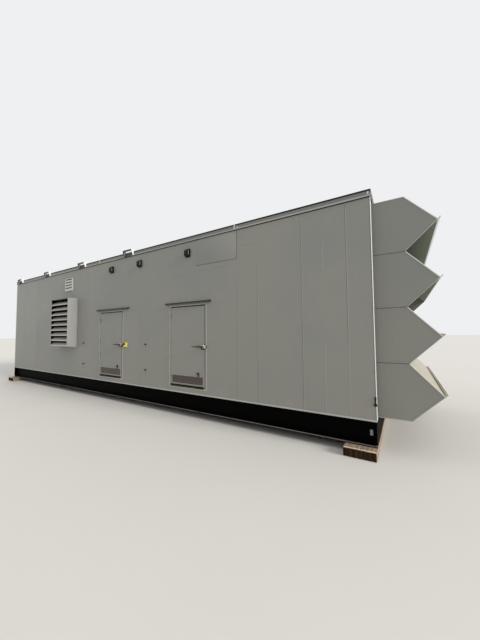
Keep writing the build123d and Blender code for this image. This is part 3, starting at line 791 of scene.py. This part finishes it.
def makeBladeTrim(left, right, front, low, high):
    # nosing of each blade, and its upper sheet, steeper than the one it lies on; the nosings take the lighter
    # blade paint as painted light and the sheets a darker copy as painted shade
    look, upper = intakeTrim, intakeTrim["upper"]
    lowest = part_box("intake_blades")[0].z
    pitch = (high - low - 2 * (lowest - low) - look["nose"]) / look["count"]
    middle, wide = (left + right) / 2, right - left - 2 * look["sheet"] - 0.002
    tall, thick = hypot(upper["deep"], upper["rise"]), upper["thick"]
    ends = (-wide / 2, wide / 2, -tall / 2, tall / 2, -thick / 2, thick / 2)
    turn = (atan2(upper["rise"], upper["deep"]), 0, 0)
    hems, sheets = [], []
    for n in range(look["count"]):
        foot = lowest + pitch * n
        hems.append(startRod((middle, front + look["hem"] / 2, foot + 0.002), look["hem"] / 2, wide, "X", 8))
        place = (middle, front + bite + upper["deep"] / 2, foot + look["nose"] + upper["rise"] / 2)
        sheets.append(tiltedSlab(ends, place, turn))
    addTrim(hems, "blade_lit_hems", litBladePaint, width=0.0008, segments=2, angle=60)
    addTrim(sheets, "blade_shaded_sheets", shadedBladeSheetPaint, width=0.0004)


def makeIntakeTrim():
    look = intakeTrim
    caseLow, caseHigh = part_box("intake_cases")
    left, right, front = caseLow.x, caseHigh.x, caseLow.y
    foot, head = caseLow.z + look["inset"], caseHigh.z - look["inset"]
    folds = []
    for near, far in ((left, left - look["foldThick"]), (right, right + look["foldThick"])):
        folds.append(slab(near, far, front + bite, front + look["fold"], foot, head))
        folds.append(slab(near, far, -faceY - look["fold"], -faceY, caseLow.z + 0.004, caseHigh.z - 0.004))
    addTrim(folds, "intake_folds", louvrePaint)
    inner = front + look["behindBlades"]
    side, end = look["screenInset"]
    # painted shade: a black screen close behind the blades for the dark inside
    screen = slab(left + side, right - side, inner, inner + look["screenThick"],
                  caseLow.z + end, caseHigh.z - end)
    addTrim([screen], "intake_shade_screens", screenAndShadeBlack)
    thick, inset = look["linerThick"], look["sheet"]
    # painted shade: black liners on the inner sides of the case
    shadeLiners = [slab(near, near + thick, front + 0.006, inner, foot, head)
              for near in (left + inset, right - inset - thick)]
    addTrim(shadeLiners, "intake_shade_liners", screenAndShadeBlack, 0.0004)
    makeVentShadows()
    makeBladeTrim(left, right, front, caseLow.z, caseHigh.z)
    count = int((head - foot) / look["screwPitch"])
    aside, above = look["screwOut"]
    places = []
    for n in range(count + 1):
        z = foot + 0.04 + (head - foot - 0.08) * n / count
        places += [(left - aside, -faceY, z), (right + aside, -faceY, z)]
    for n in range(look["across"]):
        x = left + (right - left) * n / (look["across"] - 1)
        places += [(x, -faceY, caseLow.z - above), (x, -faceY, caseHigh.z + above)]
    finishPiece(mirroredBack(copiesAt(startDome(*look["screw"]), places)), "intake_screws", panelPaint)


makeIntakeTrim()

# Lamp glasses with pressed ribs, in a dark rim, and pale strips where the front folds to the sides as painted
# highlights
lampTrim = {"inset": 0.021, "foot": 0.045, "head": 0.065, "back": 0.0075, "thick": 0.004, "ribs": 5,
            "rib": 0.0022, "rim": 0.004, "edgeWidth": (0.003, 0.0015), "edgeDepth": (0.010, 0.023),
            "edgeEnds": (0.040, 0.050)}


def makeLampTrim():
    look = lampTrim
    lampLow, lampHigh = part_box("lamps")
    front, half, rim = lampLow.y, lampWidth / 2, look["rim"]
    right = half - look["inset"]
    left, foot, head = -right, lampLow.z + look["foot"], lampHigh.z - look["head"]
    deep = front + look["back"] - look["thick"]
    glasses = [slab(left + bite, right - bite, deep, front + look["back"], foot + bite, head - bite)]
    for n in range(look["ribs"]):
        x = left + (right - left) * (n + 0.5) / look["ribs"]
        glasses.append(startRod((x, deep, (foot + head) / 2), look["rib"], head - foot - 0.006, "Z", 8))
    rims = [slab(low, high, front - bite, front + 0.002, bottom, top) for low, high, bottom, top in
            ((left - rim, right + rim, foot - rim, foot), (left - rim, right + rim, head, head + rim),
             (left - rim, left, foot, head), (right, right + rim, foot, head))]
    (inner, outer), (near, far), (below, above) = look["edgeWidth"], look["edgeDepth"], look["edgeEnds"]
    # painted highlight: pale strips at the folds of the front
    edges = [slab(side * (half - inner), side * (half + outer), front + near, front + far,
                  lampLow.z + below, lampHigh.z - above) for side in (-1, 1)]
    for parts, width, segments, name, finish in ((glasses, 0.0012, 2, "lamp_glasses", lampGlass),
                                                 (rims, 0.0008, 1, "lamp_rims", darkHardware),
                                                 (edges, 0.0008, 1, "lamp_edge_highlights", lampEdgeHighlight)):
        piece = copiesAt(roundEdges(joinPieces(parts), width, segments), [(x, 0, 0) for x in lampPlaces])
        finishPiece(mirroredBack(piece), name, finish)


makeLampTrim()
print("louvre and lamp detail done")

# Doors: seals round the leaf, pale edges of the frame as painted highlights, kick-plate edges in bright steel
# as painted highlights, and screws. A strip beside the hinges has its foot and head over the leaf's foot, for
# each door
doorTrim = {"seal": 0.016, "latchSeal": 0.009, "sealProud": 0.0065, "gap": 0.011, "sweep": 0.024,
            "sweepProud": 0.009, "sillProud": 0.008, "sillHeight": 0.014, "intoFrame": 0.002,
            "band": 0.018, "bandProud": 0.0055, "strips": ((0.98, 1.48), (-0.02, 1.05))}
kickTrim = {"side": 0.044, "foot": 0.048, "head": 0.234, "edge": 0.006, "proud": 0.0042,
            "bar": (0.017, 0.007, 0.03, 0.40), "screw": (0.005, 0.0025), "screws": 5,
            "screwInset": (0.022, 0.020)}
lockLook = {"case": (0.092, 0.048, 0.030), "toEdge": 0.004, "lift": 0.014, "hole": 0.033, "round": 0.007,
            "plate": (0.104, 0.100, 0.0045), "plateHole": 0.0335, "ring": (0.0305, 0.018), "ringHole": 0.012}
stayLook = {"housing": (0.173, 0.284), "half": 0.023, "proud": 0.013, "rubber": (0.166, 0.249, 0.014),
            "knob": (0.163, 0.314, 0.010)}
leverLook = {"tip": 0.28, "root": 0.044, "tipHeight": 0.013, "thick": 0.013, "round": 0.0045, "boss": 0.021,
             "spindle": 0.0085, "fromEdge": 0.042}


def doorLines(number):
    # edges of a door's leaf and the place of its lever
    low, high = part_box(f"door_{number}_leaf")
    leverLow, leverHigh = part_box(f"door_{number}_lever")
    return SimpleNamespace(hinge=low.x, far=high.x, foot=low.z, head=high.z, face=low.y,
                           pivot=high.x - leverLook["fromEdge"], level=(leverLow.z + leverHigh.z) / 2,
                           grip=leverLow.y, strip=doorTrim["strips"][number - 1])


def makeSeals(door):
    # dark strips on the frame round the leaf, and the sill strip
    look = doorTrim
    far, head = door.far + look["gap"], door.head + look["gap"]
    near, inner = door.face - look["sealProud"], door.face + look["intoFrame"]
    sill = door.foot - 0.012
    bars = [slab(far, far + look["latchSeal"], near, inner, door.foot - 0.010, door.head + 0.012),
            slab(door.hinge - 0.004, far + look["seal"], near, inner, head, head + look["seal"] - 0.002),
            slab(door.hinge - 0.006, door.far - 0.024, door.face - look["sillProud"], inner,
                 sill - look["sillHeight"], sill + bite)]
    return roundEdges(joinPieces(bars), 0.002, 2)


def makeHighlightBands(door):
    # pale edges of the frame, painted highlights: beside the latch seal, over the head, beside the hinges,
    # under the sill
    look = doorTrim
    band, rim = look["band"], look["gap"] + look["seal"]
    far, head, hinge, foot = door.far + rim, door.head + rim, door.hinge, door.foot
    near, inner = door.face - look["bandProud"], door.face + look["intoFrame"]
    bars = [slab(far, far + band, near, inner, foot - 0.012, head + band),
            slab(hinge - 0.004, far + bite, near, inner, head, head + band * 0.6),
            slab(hinge - 0.036, hinge - 0.029, near + bite, inner, *[foot + place for place in door.strip]),
            slab(far - band - 0.060, far + band, near - bite, inner, foot - 0.048, foot - 0.038)]
    return roundEdges(joinPieces(bars), 0.001, 1)


def makeSweep(door):
    # rubber sweep along the foot of the leaf
    look = doorTrim
    sweep = slab(door.hinge + 0.006, door.far - 0.036, door.face - look["sweepProud"], door.face,
                 door.foot + bite, door.foot + look["sweep"])
    return roundEdges(sweep, 0.003, 2)


def makeKickHighlightEdges(door):
    # pale folded edges round the kick plate, bright as a painted highlight, and the upright bar at the leaf's
    # edge
    look = kickTrim
    wide, near = look["edge"], door.face - look["proud"]
    left, right = door.hinge + look["side"], door.far - look["side"]
    foot, head = door.foot + look["foot"], door.foot + look["head"]
    start, stop, below, above = look["bar"]
    upright = (door.far - start, door.far - stop, door.foot + below, door.foot + above)
    bars = [slab(low, high, near, door.face, bottom, top) for low, high, bottom, top in
            ((left, right, foot, foot + wide), (left, right, head - wide, head),
             (left, left + wide, foot, head), (right - wide, right, foot, head), upright)]
    return roundEdges(joinPieces(bars), 0.001, 1)


def makeKickScrews(door):
    look = kickTrim
    aside, inset = look["screwInset"]
    left, right = door.hinge + look["side"] + aside, door.far - look["side"] - aside
    places = []
    for n in range(look["screws"]):
        x = left + (right - left) * n / (look["screws"] - 1)
        places += [(x, door.face - 0.002, door.foot + look["foot"] + inset),
                   (x, door.face - 0.002, door.foot + look["head"] - inset)]
    return copiesAt(startDome(*look["screw"], 8), places)


def bored(piece, door, radius):
    # the piece with a hole through it, clear of the lever's spindle
    return cutAway(piece, startRod((door.pivot, door.face, door.level), radius, 0.1, "Y", 24))


def makeLockCase(door):
    # bright case on the leaf behind the lever
    look = lockLook
    wide, tall, deep = look["case"]
    level, right = door.level + look["lift"], door.far - look["toEdge"]
    case = slab(right - wide, right, door.face - deep, door.face + bite / 2,
                level - tall / 2, level + tall / 2)
    return bored(roundEdges(case, look["round"], 3), door, look["hole"])


def makeLockShadowPlate(door):
    # thin dark plate under the case, most of it below the spindle, a painted shadow under the case
    wide, tall, thick = lockLook["plate"]
    right = door.far - 0.003
    plate = slab(right - wide, right, door.face - thick, door.face + bite / 2,
                 door.level - tall * 0.62, door.level + tall * 0.38)
    return bored(roundEdges(plate, 0.0015, 2), door, lockLook["plateHole"])


def makeRoseRing(door):
    # bright ring round the spindle, over the rose
    ring = startRod((door.pivot, door.face - 0.0095, door.level), *lockLook["ring"], "Y", 32)
    return bored(roundEdges(ring, 0.003, 2), door, lockLook["ringHole"])


def makeStay(door):
    # bronze housing of the kick-down holder
    look = stayLook
    x, z, half = door.far - look["housing"][0], door.foot + look["housing"][1], look["half"]
    return roundEdges(slab(x - half, x + half, door.face - look["proud"], door.face - bite / 2,
                           z - 0.021, z + 0.020), 0.005, 3)


def makeStayFoot(door):
    # its rubber foot and the dark knob over it
    rods = []
    for kind, out, length, sides in (("rubber", 0.016, 0.028, 18), ("knob", 0.010, 0.016, 16)):
        back, lift, radius = stayLook[kind]
        middle = (door.far - back, door.face - out, door.foot + lift)
        rods.append(startRod(middle, radius, length, "Y", sides))
    return roundEdges(joinPieces(rods), 0.003, 2)


def makeLever(door):
    # tapered bar that thins towards its tip, on a round boss and spindle
    look = leverLook
    out, pivot, level, half = door.grip, door.pivot, door.level, look["root"] / 2
    bar = slab(pivot - look["tip"] + bite, pivot + 0.008, out + bite / 2, out + look["thick"],
               level - half, level + half)
    selectFaces(bar, lambda normal: normal.x < -0.9)
    bpy.ops.transform.resize(value=(1, 1, look["tipHeight"] / look["root"]))
    bpy.ops.object.mode_set(mode="OBJECT")
    bar = roundEdges(bar, look["round"], 3)
    depth = door.face - bite - out
    spindle = startRod((pivot, out + depth / 2, level), look["spindle"], depth, "Y", 20)
    boss = startRod((pivot, out + look["thick"] + 0.010, level), look["boss"], 0.020, "Y", 28)
    return joinPieces([bar, spindle, roundEdges(boss, 0.003, 2)])


# Each kind of door piece: its maker, finish, slot and what it rides on
doorPieces = {
    "seals": (makeSeals, blackRubber, "hardware", "housing"),
    "highlight_bands": (makeHighlightBands, trimPaint, "housing_paint", "housing"),
    "sweep": (makeSweep, blackRubber, "hardware", "door"),
    "screws": (makeKickScrews, brightSteel, "stainless", "door"),
    "lock": (makeLockCase, chrome, "stainless", "door"),
    "plate": (makeLockShadowPlate, darkHardware, "hardware", "door"),
    "ring": (makeRoseRing, chrome, "stainless", "door"),
    "edges": (makeKickHighlightEdges, brightSteel, "stainless", "door"),
    "stay": (makeStay, agedBronze, "stainless", "door"),
    "stay_foot": (makeStayFoot, darkHardware, "hardware", "door"),
    "handle": (makeLever, agedBronze, "hardware", "lever")}


def makeDoors():
    back = {kind: [] for kind in doorPieces}
    for number in (1, 2):
        door = doorLines(number)
        bodies = {"housing": "housing", "door": f"door_{number}", "lever": f"lever_{number}"}
        for kind, (maker, finish, slot, carrier) in doorPieces.items():
            piece = maker(door)
            back[kind].append(farCopy(piece))
            replaced = [f"door_{number}_lever"] if kind == "handle" else []
            finishPiece(piece, f"door_{number}_{kind}", finish, bodies[carrier], replaced)
    for kind, pieces in back.items():
        maker, finish, slot, carrier = doorPieces[kind]
        replaced = ["back_door_levers"] if kind == "handle" else []
        finishPiece(joinPieces(pieces), f"back_door_{kind}", finish, nodes=replaced)


makeDoors()

# Yellow lock box beside the lever of the first door, with its dark window, and a red lock at the keeper
lockBox = {"x": (0.118, 0.240), "half": 0.056, "deep": 0.034, "window": ((0.006, 0.068), (-0.010, 0.048)),
           "hinge": (0.0045, 0.08), "lock": ((0.044, 0.092), (-0.044, 0.014), 0.012),
           "shackle": (0.013, 0.003)}


def makeLockBox():
    look = lockBox
    door = doorLines(1)
    level, half, front = door.level, look["half"], door.face - look["deep"]
    left, right = [door.far + place for place in look["x"]]
    box = slab(left, right, front, door.face, level - half, level + half)
    addTrim([box], "lock_box", safetyYellow, 0.006, 3, bothSides=False)
    (near, far), (foot, head) = look["window"]
    window = slab(left + near, left + far, front - 0.0025, front + 0.004, level + foot, level + head)
    hinge = startRod((right - 0.006, front + 0.002, level), *look["hinge"], "Z", 10)
    addTrim([window, hinge], "lock_box_parts", darkHardware, 0.0015, 2, bothSides=False)
    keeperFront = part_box("door_keepers")[0].y
    (near, far), (foot, head), deep = look["lock"]
    body = slab(door.far + near, door.far + far, keeperFront - deep, keeperFront + 0.002,
                level + foot, level + head)
    addTrim([body], "red_lock", lockRed, 0.004, 3, bothSides=False)
    middle = (door.far + (near + far) / 2, keeperFront - deep / 2, level + head + 0.004)
    finishPiece(startRing(middle, *look["shackle"], 24), "lock_shackle", chrome, smooth=60)


makeLockBox()

# Latch hook that hangs on the front wall by the corner
cornerHook = {"x": 0.009, "z": (0.235, 0.365), "rod": 0.011, "bend": 0.014, "plate": (0.014, 0.006, 0.05)}


def makeCornerHook():
    look = cornerHook
    x, bend = hoodEnd - look["x"], look["bend"]
    foot, head = [floorZ + level for level in look["z"]]
    half, thick, tall = look["plate"]
    plate = roundEdges(slab(x - half, x + half, -faceY - thick, -faceY, head - tall, head), 0.002, 2)
    shank = startRod((x, -faceY - bend, (foot + head) / 2), look["rod"], head - foot - 0.03, "Z", 12)
    ring = startRing((x - 0.002, -faceY - bend, foot + bend), bend, look["rod"], 20)
    finishPiece(mirroredBack(joinPieces([plate, shank, ring])), "corner_hooks", darkHardware)


makeCornerHook()
print("door hardware done")

# Timbers with worn edges and slightly uneven faces
timberShape = {"uneven": 0.0022, "round": 0.006, "cuts": 14, "firstSeed": 3}


def makeTimbers():
    look = timberShape
    uneven = look["uneven"]
    low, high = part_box("timbers")
    pieces = []
    for start in (high.x - timberWidth, low.x):
        block = slab(start + uneven, start + timberWidth - uneven, low.y + uneven, high.y - uneven,
                     uneven, high.z - uneven)
        pick(roundEdges(block, look["round"], 2, 60))
        bpy.ops.object.mode_set(mode="EDIT")
        bpy.ops.mesh.select_all(action="SELECT")
        bpy.ops.mesh.subdivide(number_cuts=look["cuts"])
        bpy.ops.transform.vertex_random(offset=uneven, seed=look["firstSeed"] + len(pieces))
        bpy.ops.object.mode_set(mode="OBJECT")
        pieces.append(block)
    finishPiece(joinPieces(pieces), "worn_timbers", timberWood, nodes=["timbers"], smooth=60)


makeTimbers()

# Bolts on the grounding pads
padBolt = {"radius": 0.007, "proud": 0.006, "apart": 0.042}


def makePadBolts():
    look = padBolt
    low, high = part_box("ground_pads")
    x, z = (low.x + high.x) / 2, (low.z + high.z) / 2
    bolt = roundEdges(startRod((0, 0, 0), look["radius"], look["proud"], "Y", 6), 0.001, 1)
    places = [(x, low.y - look["proud"] / 2 + bite, z + step * look["apart"] / 2) for step in (-1, 1)]
    finishPiece(mirroredBack(copiesAt(bolt, places)), "pad_bolts", brightSteel)


makePadBolts()
print("base detail done")

# Camera at the photo's station: focal length in pixels of a frame 480 wide
station = {"place": (6.5527, -6.4323, 1.8271), "yaw": 31.793, "pitch": 2.813, "roll": -0.453,
           "focal": 264.55, "frame": 480, "sensor": 36, "clip": 400}


def makeCamera():
    look = station
    data = bpy.data.cameras.new("camera")
    camera = bpy.data.objects.new("camera", data)
    bpy.context.scene.collection.objects.link(camera)
    turns = (look["yaw"], "Z"), (90 + look["pitch"], "X"), (look["roll"], "Z")
    yaw, pitch, roll = [Matrix.Rotation(radians(angle), 4, axis) for angle, axis in turns]
    camera.matrix_world = Matrix.Translation(look["place"]) @ (yaw @ pitch @ roll)
    data.sensor_fit = "HORIZONTAL"
    data.sensor_width = look["sensor"]
    data.lens = look["sensor"] * look["focal"] / look["frame"]
    data.clip_end = look["clip"]
    bpy.context.scene.camera = camera


makeCamera()

# Plain pale floor, a soft sky and one broad sun from the hood end
studio = {"floor": (0.60, 0.585, 0.56), "reach": 160, "sky": 0.86, "backdrop": (0.86, 0.87, 0.885),
          "sun": 3.5, "sunColor": (1.0, 0.965, 0.90), "sunTurn": (68, 0, 89), "sunAngle": 20}


def makeFloor():
    look = studio
    bpy.ops.mesh.primitive_plane_add(size=2 * look["reach"], location=(0, 0, 0))
    floor = applyPlace(bpy.context.object)
    floor.name = "studio_floor"
    material, wire, place = openMaterial("pale floor")
    grain = noise(place, 0.6, 5, 0.6).between(0.3, 0.7)
    pale = mixColors(grain * 0.25, look["floor"], tuple(channel * 0.94 for channel in look["floor"]))
    closeMaterial(wire, pale, 0.8)
    floor.data.materials.append(material)


def makeSky():
    # lights with the sky, and shows the backdrop to the camera and to rays that are mirrored or let through
    look = studio
    world = bpy.data.worlds.new("studio")
    bpy.context.scene.world = world
    world.use_nodes = True
    world.node_tree.nodes.clear()
    wire = Wire(world.node_tree)
    seen, mirrored, through = [wire.node("ShaderNodeLightPath", out=ray)
                               for ray in ("Is Camera Ray", "Is Glossy Ray", "Is Transmission Ray")]
    light = wire.node("ShaderNodeBackground", sockets={"Color": (1, 1, 1, 1), "Strength": look["sky"]})
    backdrop = wire.node("ShaderNodeBackground", sockets={"Color": (*look["backdrop"], 1), "Strength": 1.0})
    shown = wire.math("MAXIMUM", wire.math("MAXIMUM", seen, mirrored), through)
    both = wire.node("ShaderNodeMixShader", sockets={0: shown, 1: light, 2: backdrop})
    wire.node("ShaderNodeOutputWorld", sockets={"Surface": both})


def makeSun():
    look = studio
    data = bpy.data.lights.new("sun", "SUN")
    data.energy = look["sun"]
    data.angle = radians(look["sunAngle"])
    data.color = look["sunColor"]
    sun = bpy.data.objects.new("sun", data)
    sun.rotation_euler = [radians(angle) for angle in look["sunTurn"]]
    bpy.context.scene.collection.objects.link(sun)


makeFloor()
makeSky()
makeSun()
bpy.context.scene.view_settings.view_transform = "Standard"
print("studio done")
